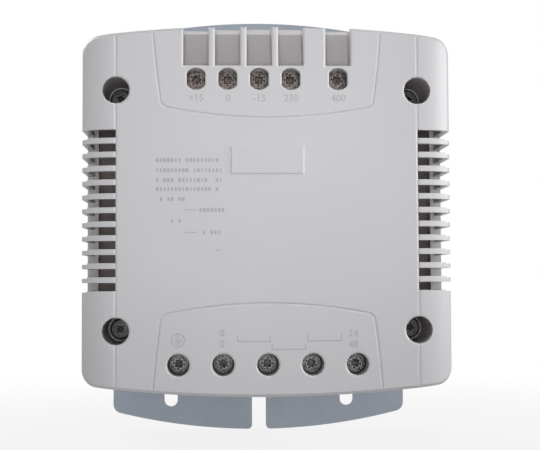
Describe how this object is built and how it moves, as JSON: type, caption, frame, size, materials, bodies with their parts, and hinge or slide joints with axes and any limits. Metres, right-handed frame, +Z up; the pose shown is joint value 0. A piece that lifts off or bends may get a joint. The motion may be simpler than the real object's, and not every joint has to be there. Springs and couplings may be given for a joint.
{
  "type": "panel mount transformer",
  "caption": "Panel mount control transformer in a vented moulded cover, with recessed screw terminals, wire channels along the top edge and slotted steel feet.",
  "frame": {"origin": "centre of the pattern of fixing slots, on the panel plane at the back of the feet", "axes": "+X to the right seen from the front, +Y back into the panel, +Z up; the front face looks toward -Y"},
  "size_m": [0.15, 0.1257, 0.2059],
  "materials": {
    "grey_moulding": "fine satin moulded",
    "zinc_steel": "zinc plated sheet",
    "core_steel": "varnished laminations",
    "bobbin_nylon": "moulded",
    "enamelled_copper": "impregnated winding",
    "insulation_film": "film",
    "wrap_tape": "varnished tape",
    "terminal_moulding": "moulded",
    "plated_brass": "tin plated",
    "plated_steel": "zinc plated",
    "tinned_copper": "tinned wire",
    "fibre_sleeve": "pressed fibre"
  },
  "bodies": {
    "root": {"front_cover": "grey_moulding", "upper_terminal_cover": "grey_moulding", "lower_terminal_cover": "grey_moulding", "screw_wells": "bobbin_nylon", "top_foot": "zinc_steel", "bottom_foot": "zinc_steel", "e_core": "core_steel", "i_core": "core_steel", "coil_bobbin": "bobbin_nylon", "primary_winding": "enamelled_copper", "winding_insulation": "insulation_film", "secondary_winding": "enamelled_copper", "outer_wrap": "wrap_tape", "primary_terminal_block": "terminal_moulding", "primary_contacts": "plated_brass", "primary_pressure_plates": "plated_steel", "primary_screws": "plated_steel", "secondary_terminal_block": "terminal_moulding", "secondary_contacts": "plated_brass", "secondary_pressure_plates": "plated_steel", "secondary_screws": "plated_steel", "primary_leads": "tinned_copper", "secondary_leads": "tinned_copper", "earth_strap": "tinned_copper", "core_bolts": "plated_steel", "bolt_washers": "plated_steel", "bolt_sleeves": "fibre_sleeve", "nut_washers": "plated_steel", "core_nuts": "plated_steel"}
  },
  "joints": []
}
